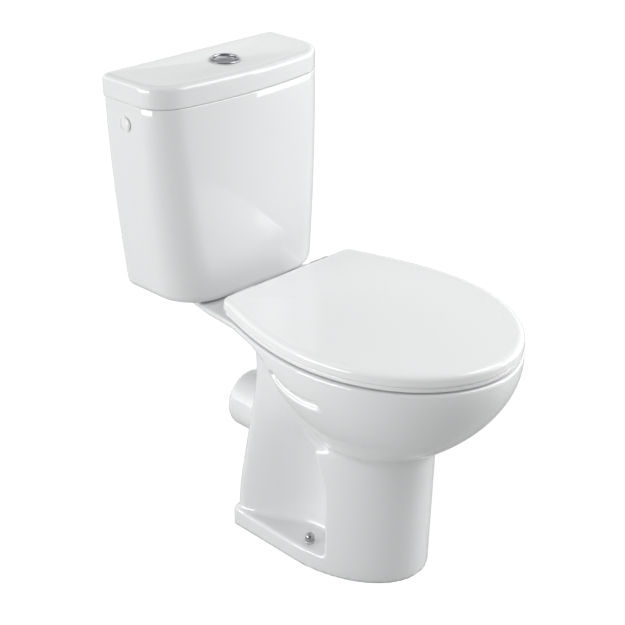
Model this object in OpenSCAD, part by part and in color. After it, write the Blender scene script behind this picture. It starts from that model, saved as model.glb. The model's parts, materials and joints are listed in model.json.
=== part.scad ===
// Close coupled toilet: pan, cistern, seat, dual flush button, flush valve and fill valve.
// Millimetres. The front of the pan faces -Y, the cistern stands at +Y, +Z is up.
// The origin is on the floor, at the middle of the footprint of the whole object.

/* [Overall] */
// Length from the front of the seat to the back of the cistern lid
total_length = 668; // [660:1:676]
// Height of the ceramic rim above the floor
rim_z = 413; // [410:1:416]
// Greatest half width of the rim and of the seat
rim_half = 184; // [180:1:188]
// Wall thickness of the vitreous china
china_t = 11; // [9:1:12]

/* [Pan] */
// Distance from the front of the rim back to its widest place
rim_front = 235; // [230:1:240]
// Half width of the shelf that carries the cistern
shelf_half = 104; // [100:1:108]
// Height of the shelf under the cistern
shelf_z = 393; // [391:1:395]
// Half width of the foot
foot_half = 111; // [108:1:114]
// Distance from the widest place of the foot to its front
foot_front = 173; // [168:1:176]
// Height of the ledges beside the foot that take the floor screws
ledge_z = 33; // [28:1:36]
// Height of the outlet above the floor
outlet_z = 175; // [170:1:180]
// Outside diameter of the outlet spigot
outlet_d = 102; // [100:1:104]

/* [Cistern] */
// Half width of the cistern at its top
tank_top_half = 177; // [174:1:180]
// Half width of the cistern at its base
tank_base_half = 155; // [150:1:160]
// Height of the underside of the cistern
tank_z = 396; // [395:1:397]
// Height of the seam between cistern and lid
seam_z = 724; // [715:1:735]
// Height of the edge of the lid above the seam
lid_h = 36; // [34:1:40]

/* [Seat] */
// Thickness of the visible edge of the seat ring
ring_edge = 7.5; // [7:0.5:8]
// Height of the closed cover above the seam with the ring, at its middle
cover_h = 22; // [21:0.5:23]
// Distance between the two hinges
hinge_pitch = 155; // [150:1:160]

/* [Fittings] */
// Diameter of the chrome button bezel
bezel_d = 52; // [50:1:56]
// Travel of each flush button
button_travel = 8; // [6:1:8]
// Distance between the two cistern bolts
tank_bolt_pitch = 130; // [126:1:136]
// Distance between the two floor screws
floor_pitch = 176; // [172:1:180]

/* [Hidden] */
$fn = 48;

half_len = total_length / 2;
mid_y = rim_front - half_len;      // widest place of the rim
rear_y = half_len - 8;                 // back of the shelf
valve_y = 247;                         // line of the valve, the button and the cistern bolts
hinge_y = 122;                         // axis of the seat hinges
hinge_z = rim_z + 11;
pad_z = rim_z - 15;                     // flat seats cut in the shelf for the hinges
foot_y = -13;                          // widest place of the foot
foot_back = 131;
niche_y = -81;                         // back of the front column, where the side niches start
bolt_y = -33;                          // line of the floor screws
outlet_end = 206;
ring_z = rim_z + 3.5;                  // underside of the seat ring
cover_z = ring_z + ring_edge + 0.5;    // underside of the edge of the cover
seat_back = 111;                       // back edge of the seat cover
tank_back = half_len - 1;
tank_floor = tank_z + 12;
lid_z = seam_z + 0.4;
valve_r = 29.5;                        // threaded tail of the flush valve
inlet_x = 120;
inlet_y = 272;
inlet_r = 10.48;                       // half inch parallel thread
plug_y = 279;
plug_z = 690;
china = [0.93, 0.94, 0.95];
steel = [0.75, 0.76, 0.78];
plastic = [0.90, 0.91, 0.93];

// ---------- functions ----------
function clamp(t) = min(1, max(0, t));
function smooth(t) = let (u = clamp(t)) u * u * (3 - 2 * u);
function at_z(outline, z) = [for (p = outline) [p.x, p.y, z]];
function inset(outline, d, cy) = [for (p = outline)
    let (n = norm([p.x, p.y - cy])) n < 1 ? p : [p.x * (n - d) / n, cy + (p.y - cy) * (n - d) / n]];

// Half width of the rim and shelf at y, behind its widest place
function plan_half(y) = y < mid_y
    ? rim_half * sqrt(max(0, 1 - pow((y - mid_y) / rim_front, 2)))
    : shelf_half + (rim_half - shelf_half) / 2 * (1 + cos(180 * clamp((y - mid_y) / 390)));
// Top of the rim, which falls gently to the shelf of the cistern
function top_z(y) = rim_z - (rim_z - shelf_z) * clamp((y - 70) / 104);
// How full the bowl is at height z: 1 at the rim, 0 well under the neck
function bowl_fill(z) = max(0, 1 - pow(max(0, (400 - z) / 210), 1.7));
// Back edge of the bowl, a ridge that sweeps up and back from the column to the shelf
function ridge_y(z) = lookup(z, [[170, -81], [224, -72], [278, -84], [306, -80],
    [330, -62], [350, -46], [372, -37],
    [390, -25], [403, 2]]);

// Egg-shaped half outline, front to back: a quarter ellipse, straight or tapered sides, a flat back
function egg(cy, half, front, back_y, back_half, r) = concat(
    [for (t = [0:7.5:90]) [half * sin(t), cy - front * cos(t)]],
    [for (i = [1:6]) let (y = cy + (back_y - r - cy) * i / 6)
        [half + (back_half - half) * smooth((y - cy) / (back_y - cy)), y]],
    [for (t = [30:30:90]) [back_half - r + r * cos(t), back_y - r + r * sin(t)]],
    [[0, back_y]]);
// Half outline of the rim, the seat ring and the seat cover, moved in by d
function seat_outline(back_y, d, r) = concat(
    [for (t = [0:7.5:90]) [(rim_half - d) * sin(t), mid_y - (rim_front - d) * cos(t)]],
    [for (i = [1:7]) let (y = mid_y + (back_y - r - mid_y) * i / 7) [plan_half(y) - d, y]],
    let (w = plan_half(back_y - r) - d)
        [for (t = [22.5:22.5:90]) [w - r + r * cos(t), back_y - r + r * sin(t)]],
    [[0, back_y]]);
// Half outline of the cistern: a bowed front, round front corners, small back corners
function tank_outline(half, back, side_d, mid_d, r, rb) =
    let (h = mid_d - side_d, big = (half * half + h * h) / (2 * h), a0 = asin((half - r) / big),
         xc = half - r * (1 - sin(a0)), a = asin(xc / big),
             yc = back - mid_d + big - sqrt(big * big - xc * xc))
    concat(
    [for (i = [0:6]) let (x = xc * i / 6) [x, back - mid_d + big - sqrt(big * big - x * x)]],
    [for (i = [1:8]) let (t = a + (90 - a) * i / 8)
        [xc + r * (sin(t) - sin(a)), yc + r * (cos(a) - cos(t))]],
    [for (t = [0:30:90]) [half - rb + rb * cos(t), back - rb + rb * sin(t)]],
    [[0, back]]);

// ---------- helpers ----------
// Closed solid through mirrored half outlines, from the lowest row to the highest
module loft(rows) {
    n = len(rows[0]);
    m = 2 * n - 2;
    points = [for (r = rows) each concat(r, [for (i = [n - 2:-1:1]) [-r[i].x, r[i].y, r[i].z]])];
    top = (len(rows) - 1) * m;
    sides = [for (k = [0:len(rows) - 2], i = [0:m - 1]) let (j = (i + 1) % m, a = k * m, b = a + m)
        each [[a + i, b + i, b + j], [a + i, b + j, a + j]]];
    base = [for (i = [0:n - 2]) let (p = i, q = i + 1, pm = (m - p) % m, qm = m - q)
        each i == 0 ? [[p, q, qm]] : i == n - 2 ? [[p, q, pm]] : [[p, q, qm], [p, qm, pm]]];
    cap = [for (f = base) [top + f[2], top + f[1], top + f[0]]];
    polyhedron(points, concat(sides, base, cap), convexity = 8);
}
// Closed ring: the rows are full loops that run once round the section of the band
module band(rows) {
    n = len(rows[0]);
    m = 2 * n - 2;
    count = len(rows);
    points = [for (r = rows) each concat(r, [for (i = [n - 2:-1:1]) [-r[i].x, r[i].y, r[i].z]])];
    polyhedron(points, [for (k = [0:count - 1], i = [0:m - 1])
        let (j = (i + 1) % m, a = k * m, b = ((k + 1) % count) * m)
        each [[a + i, b + i, b + j], [a + i, b + j, a + j]]], convexity = 8);
}
// Tube along a path in the middle plane, each stop as [y, z, radius]
module passage(stops, grow) {
    sides = 20;
    n = len(stops);
    function dir(i) = let (a = stops[max(0, i - 1)], b = stops[min(n - 1, i + 1)])
        atan2(b[1] - a[1], b[0] - a[0]);
    points = [for (i = [0:n - 1], k = [0:sides - 1]) let (
        s = stops[i], r = s[2] + grow, t = 360 * k / sides,
        d = dir(i)) [r * cos(t), s[0] - r * sin(t) * sin(d), s[1] + r * sin(t) * cos(d)]];
    polyhedron(points, concat(
        [for (i = [0:n - 2], k = [0:sides - 1]) let (j = (k + 1) % sides, a = i * sides, b = a + sides)
            each [[a + k, a + j, b + j], [a + k, b + j, b + k]]],
        [[for (k = [sides - 1:-1:0]) k]], [[for (k = [0:sides - 1]) (n - 1) * sides + k]]), convexity = 6);
}
module hex_nut(af, h, hole) {
    difference() {
        cylinder(d = af / cos(30), h = h, $fn = 6);
        translate([0, 0, -1]) cylinder(r = hole, h = h + 2);
    }
}
module washer(r, hole, h) {
    difference() {
        cylinder(r = r, h = h);
        translate([0, 0, -1]) cylinder(r = hole, h = h + 2);
    }
}
module cone_washer(r1, r2, hole, h) {
    difference() {
        cylinder(r1 = r1, r2 = r2, h = h);
        translate([0, 0, -1]) cylinder(r = hole, h = h + 2);
    }
}
// Wing nut with its bore, wings along Y and pointing down
module wing_nut(r, h, hole) {
    difference() {
        union() {
            cylinder(r = r, h = h);
            for (s = [-1, 1]) translate([-1.5, s > 0 ? r - 2 : -r - 10, -4]) cube([3, 12, h + 4]);
        }
        translate([0, 0, -5]) cylinder(r = hole, h = h + 6);
    }
}
module both_sides(pitch) { for (s = [-1, 1]) translate([s * pitch / 2, 0, 0]) children(); }

// ---------- pan ----------
slab_z = shelf_z - 16;                 // underside of the shelf and lower edge of the rim band
function bowl_row(z, d) = let (f = bowl_fill(z), half = rim_half * pow(f, 0.6) - d,
    front = rim_front * pow(f, 0.72) - d, back = ridge_y(z), full = plan_half(back) / rim_half)
    at_z(concat(
        [for (t = [0:7.5:90]) [half * sin(t), mid_y - front * cos(t)]],
        [for (i = [1:5]) let (y = mid_y + (back - 6 - mid_y) * i / 5)
            [half * plan_half(y) / rim_half, y]],
        [[half * full * 0.93, back], [0, back]]), z);
// Rim and shelf in one slab: rows by depth d and by the share t of the height from underside to top
// The edge is thin, and the underside slopes in from it to the full thickness
function slab_row(drop, d) = [for (p = seat_outline(rear_y - d, d, 24)) [p.x, p.y, top_z(p.y) - drop]];
under_row = [for (p = seat_outline(rear_y - 14, 14, 24))
    [p.x * (1 - (top_z(p.y) - shelf_z) / rim_half), p.y, slab_z]];
// Half width of the trapway body at its front, and its back edge
function body_in(z) = lookup(z, [[33, 46], [100, 50], [150, 55], [200, 68],
    [250, 90], [300, 106], [340, 112]]);
function body_back(z) = lookup(z, [[20, 129], [68, 127], [192, 105], [320, 84], [377, 88]]);
function body_row(z, d) = let (a = body_in(z), b = 107 - 6 * clamp(z / 320), back = body_back(z))
    at_z(concat(
        [[0, -112 + d], [a - d, -112 + d]],
        [for (i = [0:7]) let (y = -30 + (back + 6) * i / 7) [a + (b - a) * smooth(i / 7) - d, y]],
        [for (t = [30:30:90]) [b - d - 18 + 18 * cos(t), back - d - 18 + 18 * sin(t)]],
        [[0, back - d]]), z);
function foot_row(z, d) = at_z([for (p = egg(foot_y, foot_half - d, foot_front - d, foot_back - d,
    foot_half - 1 - d, 8))
    [p.x, p.y < foot_y ? foot_y + (p.y - foot_y) * (1 + 9 / 173 * z / 220) : p.y]], z);
// Plane-sided block that opens the niches behind the front column, above the ledges
function niche_row(z) = let (y = niche_y + 18 * smooth((z - 150) / 80))
    at_z([[0, y - 4], [90, y - 2], [130, y + 3],
    [130, 150], [0, 150]], z);
// Keeps the cavity inside the walls of the trapway body, behind the ridges
function cavity_limit(y, z, grow) = z > rim_z - 16 ? rim_half
    : body_in(z) - china_t + grow + 1.2 * max(0, ridge_y(z) - 16 - y);
function cavity_row(z, half, front, back, grow) = at_z([for (p = concat(
    [for (t = [0:7.5:90]) [half * sin(t), mid_y - front * cos(t)]],
    [for (t = [82:-8:2]) [half * sin(t), mid_y + back * cos(t)]], [[0, mid_y + back]]))
    [min(p.x, cavity_limit(p.y, z, grow)), p.y]], z);
cavity = [[rim_z + 2, 134, 187, 160], [rim_z - 15, 134, 187, 160], [rim_z - 15.2, 158, 209, 180],
    [372, 155, 205, 176], [330, 139, 182, 158], [290, 115, 148, 134],
        [250, 84, 106, 104], [215, 57, 66, 76],
    [190, 44, 52, 60], [176, 36, 44, 48]];
function cavity_rows(grow, first) = [for (i = [len(cavity) - 1:-1:first]) let (c = cavity[i])
    cavity_row(c[0] - grow, c[1] + grow, c[2] + grow, c[3] + grow, grow)];
// Centre line of the trapway as [y, z, radius]:
// down from the sump, round, over the weir and back down to the outlet
bend = 52;                                             // radius of both bends of the trapway
function turn(y, from, to, n, r0, r1) = [for (i = [0:n]) let (a = from + (to - from) * i / n)
    [y + bend * cos(a), bend_z + bend * sin(a), r0 + (r1 - r0) * i / n]];
bend_z = 162;
trap = concat([[-40 - bend, 190, 34]], turn(-40, 180, 342, 9, 33, 33.5), turn(64, 180, 50, 8, 34, 38),
    [[108, 193, 39.5], [118, 185, 41]]);

module pan_shell() {
    difference() {
        union() {
            loft([for (z = [205, 224, 244, 264, 284, 304, 326, 350, 377, 390, 401]) bowl_row(z, 0)]);
            loft([under_row, slab_row(15, 12.5), slab_row(7.5, 0), slab_row(5, 0),
                slab_row(1.5, 1), slab_row(0, 3.5)]);
            difference() {
                loft([for (s = [[0, 0], [110, 0], [214, 0], [224, 3], [229, 9]]) foot_row(s[0], s[1])]);
                loft([for (z = [ledge_z, 150, 175, 200, 235]) niche_row(z)]);
            }
            loft([for (z = [20, 68, 100, 150, 192, 230, 270, 320, 350, 400]) body_row(z, 0)]);
            translate([-38, 60, 344]) cube([76, valve_y - 60, slab_z - 344]);
        }
        loft(cavity_rows(0, 0));
        passage(trap, 0);
        // space under the glaze, open to the floor
        difference() {
            union() {
                intersection() {
                    loft([for (z = [-2, 214]) foot_row(z, china_t + 1)]);
                    translate([-150, -250, -3]) cube([300, 250 + niche_y - china_t - 2, 217]);
                }
                loft([for (z = [-2, 68, 100, 150, 192, 230, 270, 320, 364]) body_row(z, china_t)]);
            }
            loft(cavity_rows(china_t, 1));
            passage(trap, china_t);
            translate([-32, -64, 140]) cube([64, 56, 40]);
            translate([-39, 60, 344]) cube([78, 200, 40]);
        }
        // way of the flush water to the rim
        translate([-27, 62, 355]) cube([54, valve_y - 62, 15]);
    }
}
// The pan is cast in four parts that are stuck together before firing
joint_z = 235;                         // height of the joint between pedestal and bowl
joint_y = 99;                          // joint between bowl and shelf
bore_y = 95;                           // start of the straight outlet bore
spigot_y = 126;                        // joint between pedestal and spigot
module part_of_shell(low, high) {
    intersection() {
        pan_shell();
        translate(low) cube(high - low);
    }
}
module outlet_bore() {
    translate([0, bore_y, outlet_z]) rotate([-90, 0, 0]) cylinder(r = 43, h = outlet_end);
}
module pan_pedestal() {
    color(china) difference() {
        union() {
            resize([0, 0, 0]) part_of_shell([-200, -400, -10], [200, 400, joint_z]);
            translate([0, bore_y + 1, outlet_z]) rotate([-90, 0, 0])
                cylinder(r = outlet_d / 2 + 8, h = spigot_y - bore_y - 1);
        }
        outlet_bore();
        translate([0, bolt_y, -1]) both_sides(floor_pitch) cylinder(r = 5, h = ledge_z + 2);
    }
}
pan_pedestal();

module pan_spigot() {
    color(china) difference() {
        translate([0, spigot_y, outlet_z]) rotate([-90, 0, 0])
            cylinder(d = outlet_d, h = outlet_end - spigot_y);
        outlet_bore();
    }
}
pan_spigot();

module pan_bowl() {
    color(china) resize([0, 0, 0]) part_of_shell([-200, -400, joint_z], [200, joint_y, 500]);
}
pan_bowl();

module pan_shelf() {
    color(china) difference() {
        union() {
            resize([0, 0, 0]) part_of_shell([-200, joint_y, joint_z], [200, 400, 500]);
            translate([0, valve_y, 344]) cylinder(r = 53, h = 38);
        }
        translate([0, valve_y, 373]) cylinder(r = 48, h = 40);
        translate([0, valve_y, 355]) cylinder(r = 36, h = 40);
        translate([-27, valve_y - 70, 355]) cube([54, 60, 15]);
        translate([0, valve_y, 0]) both_sides(tank_bolt_pitch)
            translate([0, 0, 340]) cylinder(r = 6, h = 80);
        translate([0, hinge_y, 0]) both_sides(hinge_pitch) {
            translate([0, 0, 340]) cylinder(r = 7, h = 90);
            translate([0, 0, pad_z]) cylinder(r = 16, h = 30);
        }
    }
}
pan_shelf();

// ---------- cistern ----------
function tank_half(z) = tank_base_half + (tank_top_half - tank_base_half)
    * (1 - pow(clamp((seam_z - z) / (seam_z - tank_z)), 1.7));
function tank_row(z, d) = let (t = clamp((seam_z - z) / (seam_z - tank_z)), half = tank_half(z) - d)
    at_z(tank_outline(half, tank_back - 1 - 4 * t - d, 131 + 13 * t - 2 * d,
        151 + 8 * t - 2 * d, 58 + 14 * t - d, 9), z);
function lid_row(z, d) = let (e = min(d, 9)) at_z(inset(tank_outline(tank_top_half + 2 - e, half_len - e,
    132 - 2 * e, 153 - 2 * e, 59 - e, 10), d - e, half_len - 74), z);

module cistern_tank() {
    color(china) difference() {
        resize([0, 0, 0]) difference() {
            loft(concat([for (s = [[0, 14], [2, 8], [6, 3], [12, 0]]) tank_row(tank_z + s[0], s[1])],
                [for (z = [450, 505, 560, 615, 670, seam_z]) tank_row(z, 0)]));
            loft(concat([tank_row(tank_floor, 20)],
                [for (z = [tank_floor + 10, 470, 540, 610, 670, seam_z + 2]) tank_row(z, china_t - 2)]));
        }
        translate([0, valve_y, tank_z - 1]) cylinder(r = 32, h = 30);
        translate([0, valve_y, tank_z - 1]) both_sides(tank_bolt_pitch) cylinder(r = 6, h = 30);
        translate([inlet_x, inlet_y, tank_z - 1]) cylinder(r = 12, h = 30);
        for (s = [-1, 1]) translate([s * (tank_half(plug_z) - 20), plug_y, plug_z])
            rotate([0, s * 90, 0])
            cylinder(r = 10, h = 40);
    }
}
cistern_tank();

module cistern_lid() {
    color(china) difference() {
        resize([0, 0, 0]) union() {
            difference() {
                loft([for (s = [[0, 1], [4, 0], [lid_h - 8, 0], [lid_h - 3, 2.5],
                    [lid_h - 0.5, 7], [lid_h + 1, 20],
                    [lid_h + 2.4, 60]]) lid_row(lid_z + s[0], s[1])]);
                loft([for (s = [[-1, 9], [lid_h - 12, 9], [lid_h - 8, 14]]) lid_row(lid_z + s[0], s[1])]);
            }
            // lugs that drop inside the cistern and centre the lid
            for (s = [-1, 1]) {
                translate([s * 160 - 6, 268, lid_z - 7]) cube([12, 24, lid_h]);
                for (y = [197, 314]) translate([s * 60 - 12, y, lid_z - 7]) cube([24, 6, lid_h]);
            }
        }
        translate([0, valve_y, lid_z]) cylinder(r = 20.5, h = lid_h + 10);
    }
}
cistern_lid();

// ---------- seat ----------
function ring_hole(d, z) = at_z(concat(
    [for (t = [0:7.5:90]) [(114 - d) * sin(t), mid_y - (160 - d) * cos(t)]],
    [for (i = [1:7]) let (t = 90 - i * 10) [(114 - d) * pow(sin(t), 0.8), mid_y + (132 - d) * cos(t)]],
    [[40 - d, mid_y + 134 - d], [28, mid_y + 134 - d], [16, mid_y + 134 - d], [8, mid_y + 134 - d],
        [0, mid_y + 134 - d]]), z);
module seat_ring() {
    color(plastic) band([at_z(seat_outline(seat_back - 7, 3.5, 16), ring_z),
        at_z(seat_outline(seat_back - 6, 1.5, 16), ring_z + 2),
        at_z(seat_outline(seat_back - 6, 1.5, 16), ring_z + ring_edge - 1),
        at_z(seat_outline(seat_back - 7, 3.5, 16), ring_z + ring_edge),
        at_z(seat_outline(seat_back - 14, 14, 12), ring_z + ring_edge + 0.4),
        at_z(seat_outline(seat_back - 22, 34, 8), ring_z + ring_edge + 6),
        ring_hole(-16, ring_z + ring_edge + 5), ring_hole(-3, ring_z + ring_edge),
        ring_hole(0, ring_z + 5), ring_hole(-4, ring_z)]);
}
seat_ring();

module seat_cover() {
    top = cover_z + cover_h;
    color(plastic) resize([0, 0, 0]) difference() {
        loft([for (s = [[0, 1], [1, 0], [cover_h - 13, 0], [cover_h - 9, 1.5],
            [cover_h - 5.5, 5], [cover_h - 3.5, 11],
            [cover_h - 2, 24], [cover_h - 0.7, 60], [cover_h, 105]])
            at_z(seat_outline(seat_back - s[1], s[1], max(6, 18 - s[1])), cover_z + s[0])]);
        loft([for (s = [[-1, 10], [cover_h - 12, 10], [cover_h - 6.5, 16], [cover_h - 5, 40]])
            at_z(seat_outline(seat_back - s[1], s[1], 8), cover_z + s[0])]);
    }
}
seat_cover();

// Rubber buffers between ring and rim, four in all
module ring_buffers() {
    color([0.85, 0.86, 0.87]) for (s = [-1, 1], p = [[62, -275, 9], [128, 60, 9]])
        translate([s * p.x, p.y, rim_z + 0.2]) cylinder(r = p.z, h = ring_z - rim_z - 0.2);
}
ring_buffers();

// Buffers between cover and ring, under the front edge of the cover
module cover_buffers() {
    gap = cover_z + cover_h - 6.5;
    color([0.85, 0.86, 0.87]) for (s = [-1, 1], p = [[70, -245], [140, -60]])
        translate([s * p.x, p.y, ring_z + ring_edge + 6.4])
            cylinder(r1 = 4.5, r2 = 6, h = gap - ring_z - ring_edge - 6.2);
}
cover_buffers();

// ---------- seat hinges ----------
pin_r = 3;
run = 0.05;                            // radial running clearance
module knuckle(x0, w, r) {
    translate([x0, hinge_y, hinge_z]) rotate([0, 90, 0]) cylinder(r = r, h = w);
}
module knuckle_bore(x0, w) {
    translate([x0 - 1, hinge_y, hinge_z]) rotate([0, 90, 0]) cylinder(r = pin_r + run, h = w + 2);
}
module hinge_posts() {
    color(steel) for (s = [-1, 1]) difference() {
        union() {
            translate([s * hinge_pitch / 2, hinge_y, pad_z]) cylinder(r = 14, h = 5);
            translate([s * hinge_pitch / 2, hinge_y, pad_z]) cylinder(r = 7.5, h = hinge_z - pad_z);
            knuckle(s * hinge_pitch / 2 - 8, 16, 8);
        }
        knuckle_bore(s * hinge_pitch / 2 - 8, 16);
        translate([s * hinge_pitch / 2, hinge_y, pad_z - 1]) cylinder(r = 4 + run, h = 13);
    }
}
hinge_posts();

module hinge_pins() {
    color(steel) for (s = [-1, 1]) translate([s * hinge_pitch / 2 - 21.5, hinge_y, hinge_z])
        rotate([0, 90, 0])
        cylinder(r = pin_r, h = 43);
}
hinge_pins();

module hinge_studs() {
    color(steel) both_sides(hinge_pitch) translate([0, hinge_y, 358]) cylinder(r = 4, h = pad_z + 11 - 358);
}
hinge_studs();

module hinge_cone_washers() {
    color("dimgray") both_sides(hinge_pitch) translate([0, hinge_y, 372]) cone_washer(12, 13, 4.2, 5);
}
hinge_cone_washers();

module hinge_wing_nuts() {
    color(plastic) both_sides(hinge_pitch) translate([0, hinge_y, 363]) wing_nut(8, 9, 4.05);
}
hinge_wing_nuts();

// Arms under the ring, inside the posts
arm_in = hinge_pitch / 2 - 20.5;
arm_out = hinge_pitch / 2 + 8.5;
module ring_hinge_arms() {
    color(steel) for (s = [-1, 1]) difference() {
        union() {
            knuckle(s > 0 ? arm_in : -arm_in - 12, 12, 7.5);
            translate([s > 0 ? arm_in : -arm_in - 12, 84, ring_z - 4]) cube([12, hinge_y - 84, 3.9]);
            translate([s > 0 ? arm_in : -arm_in - 12, hinge_y - 6, ring_z - 4]) cube([12, 12, 10]);
        }
        knuckle_bore(s > 0 ? arm_in : -arm_in - 12, 12);
        for (y = [90, 99]) translate([s * (arm_in + 6), y, ring_z - 5]) cylinder(r = 2.05, h = 6);
    }
}
ring_hinge_arms();

module ring_arm_screws() {
    color(steel) for (s = [-1, 1], y = [90, 99]) translate([s * (arm_in + 6), y, ring_z - 5.6]) {
        cylinder(r = 3.8, h = 1.6);
        cylinder(r = 2, h = 5.6);
    }
}
ring_arm_screws();

// Arms on the back edge of the cover, outside the posts
module cover_hinge_arms() {
    color(steel) for (s = [-1, 1]) difference() {
        union() {
            knuckle(s > 0 ? arm_out : -arm_out - 12, 12, 7.5);
            translate([s > 0 ? arm_out : -arm_out - 12, seat_back + 0.1, hinge_z - 2]) cube([12, 5, 14.5]);
            translate([s > 0 ? arm_out : -arm_out - 12, seat_back + 0.1, hinge_z - 2]) cube([12, 12, 6]);
        }
        knuckle_bore(s > 0 ? arm_out : -arm_out - 12, 12);
        translate([s * (arm_out + 6), seat_back - 1, hinge_z + 9])
            rotate([-90, 0, 0]) cylinder(r = 2.05, h = 8);
    }
}
cover_hinge_arms();

module cover_arm_screws() {
    color(steel) for (s = [-1, 1]) translate([s * (arm_out + 6), seat_back + 5.2, hinge_z + 9])
        rotate([90, 0, 0]) {
        translate([0, 0, -1.6]) cylinder(r = 2.9, h = 1.6);
        cylinder(r = 2, h = 5.1);
    }
}
cover_arm_screws();

// ---------- flush buttons ----------
lid_top = lid_z + lid_h + 2.4;
button_r = 17.6;
rod_r = 2.9;
full_x = -8;
half_x = 8.2;
split_x = 3;
plate_z = 728;                         // floor of the button sleeve
tube_top = 625;
tube_lift = 25;                        // how far a full flush lifts the valve tube
rod_end = tube_top + tube_lift + button_travel + 2;
module button_bezel() {
    color(steel) translate([0, valve_y, 0]) difference() {
        union() {
            translate([0, 0, lid_top]) cylinder(r1 = bezel_d / 2, r2 = bezel_d / 2 - 3, h = 4);
            translate([0, 0, plate_z + 5]) cylinder(r = 20, h = lid_top - plate_z - 4);
        }
        translate([0, 0, plate_z]) cylinder(r = button_r + 0.6, h = 60);
    }
}
button_bezel();

module button_sleeve() {
    color(plastic) translate([0, valve_y, plate_z]) difference() {
        cylinder(r = 20, h = 5);
        for (x = [full_x, half_x]) translate([x, 0, -1]) cylinder(r = rod_r + 0.1, h = 7);
    }
}
button_sleeve();

module button_lock_nut() {
    color(plastic) translate([0, valve_y, lid_z + lid_h - 18]) hex_nut(52, 9, 20.1);
}
button_lock_nut();

module button_half(low_x, high_x) {
    translate([0, valve_y, 0]) intersection() {
        translate([0, 0, plate_z + 20]) union() {
            cylinder(r = button_r, h = lid_top - plate_z - 17);
            translate([0, 0, lid_top - plate_z - 17]) cylinder(r1 = button_r, r2 = button_r - 2.5, h = 1.6);
        }
        translate([low_x, -30, plate_z]) cube([high_x - low_x, 60, 80]);
    }
}
module full_flush_button() { color(steel) button_half(-30, split_x - 0.4); }
full_flush_button();
module half_flush_button() { color(steel) button_half(split_x + 0.4, 30); }
half_flush_button();

module push_rod(x) {
    translate([x, valve_y, rod_end]) cylinder(r = rod_r, h = plate_z + 20 - rod_end);
}
module full_push_rod() { color(plastic) push_rod(full_x); }
full_push_rod();
module half_push_rod() { color(plastic) push_rod(half_x); }
half_push_rod();

// ---------- flush valve ----------
seat_z = tank_floor + 8;               // valve seat
tube_r = 14;
module flush_valve_base() {
    color(plastic) translate([0, valve_y, 0]) difference() {
        union() {
            translate([0, 0, 366]) cylinder(r = valve_r, h = seat_z - 366);
            translate([0, 0, tank_floor + 2]) cylinder(r = 41, h = 4);
        }
        translate([0, 0, 360]) cylinder(r = 24, h = 80);
    }
}
flush_valve_base();

module valve_base_washer() {
    color("dimgray") translate([0, valve_y, tank_floor]) washer(40, valve_r + 0.3, 2);
}
valve_base_washer();

module valve_back_nut() {
    color(plastic) translate([0, valve_y, tank_z - 15]) hex_nut(68, 15, valve_r + 0.1);
}
valve_back_nut();

module coupling_gasket() {
    color("dimgray") translate([0, valve_y, 373]) washer(47, 41, tank_z - 373);
}
coupling_gasket();

module flush_valve_cage() {
    color(plastic) translate([0, valve_y, 0]) difference() {
        union() {
            translate([0, 0, tank_floor + 6]) washer(41, 34.5, 8);
            for (a = [45:90:315]) rotate(a) translate([34.5, -4, tank_floor + 10]) cube([5, 8, 176]);
            translate([0, 0, tank_floor + 180]) cylinder(r = 39.5, h = 6);
        }
        translate([0, 0, tank_floor + 170]) cylinder(r = tube_r + 0.1, h = 30);
        for (a = [0:90:270]) rotate(a) translate([27, 0, tank_floor + 170]) cylinder(r = 6, h = 30);
    }
}
flush_valve_cage();

module overflow_tube() {
    color([0.35, 0.55, 0.75]) translate([0, valve_y, 0]) difference() {
        union() {
            translate([0, 0, seat_z + 4]) cylinder(r = tube_r, h = tube_top - seat_z - 4);
            translate([0, 0, seat_z + 4]) cylinder(r = 27, h = 4);
        }
        translate([0, 0, seat_z]) cylinder(r = tube_r - 1.7, h = 250);
    }
}
overflow_tube();

module flush_seal() {
    color("dimgray") translate([0, valve_y, seat_z + 0.1]) washer(29, tube_r - 1.7, 3.9);
}
flush_seal();

module half_flush_float() {
    color([0.35, 0.55, 0.75]) translate([0, valve_y, seat_z + 60]) washer(25, tube_r, 34);
}
half_flush_float();

// ---------- fill valve ----------
pivot_x = 118;
pivot_z = 585;
module fill_valve_body() {
    color(plastic) difference() {
        union() {
            translate([inlet_x, inlet_y, 362]) cylinder(r = inlet_r, h = tank_z - 12 - 362);
            translate([inlet_x, inlet_y, tank_z - 12]) cylinder(r = inlet_r - 0.4, h = 38);
            translate([inlet_x, inlet_y, tank_floor + 2]) cylinder(r = 15, h = 4);
            translate([inlet_x, inlet_y, tank_floor + 2]) cylinder(r = 9.5, h = 150);
            translate([inlet_x, inlet_y, 555]) cylinder(r = 15, h = 18);
            for (y = [inlet_y - 9.5, inlet_y + 5.5]) translate([pivot_x - 5, y, 570]) cube([12, 4, 21]);
            translate([inlet_x - 6, inlet_y - 23, 555]) cube([12, 12, 13]);
        }
        translate([inlet_x, inlet_y, 361]) cylinder(r = 7, h = 195);
        translate([pivot_x, inlet_y - 15, pivot_z]) rotate([-90, 0, 0]) cylinder(r = 2 + run, h = 30);
        translate([inlet_x, inlet_y - 22, 550]) cylinder(r = 4, h = 15);
    }
}
fill_valve_body();

module fill_valve_cap() {
    color([0.35, 0.55, 0.75]) translate([inlet_x + 8, inlet_y, 573]) cylinder(r = 5.5, h = 9);
}
fill_valve_cap();

module fill_valve_shank_washer() {
    color("dimgray") translate([inlet_x, inlet_y, tank_floor]) washer(14.5, inlet_r - 0.3, 2);
}
fill_valve_shank_washer();

module inlet_back_nut() {
    color(plastic) translate([inlet_x, inlet_y, tank_z - 12]) rotate(30) hex_nut(24, 12, inlet_r - 0.3);
}
inlet_back_nut();

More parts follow.
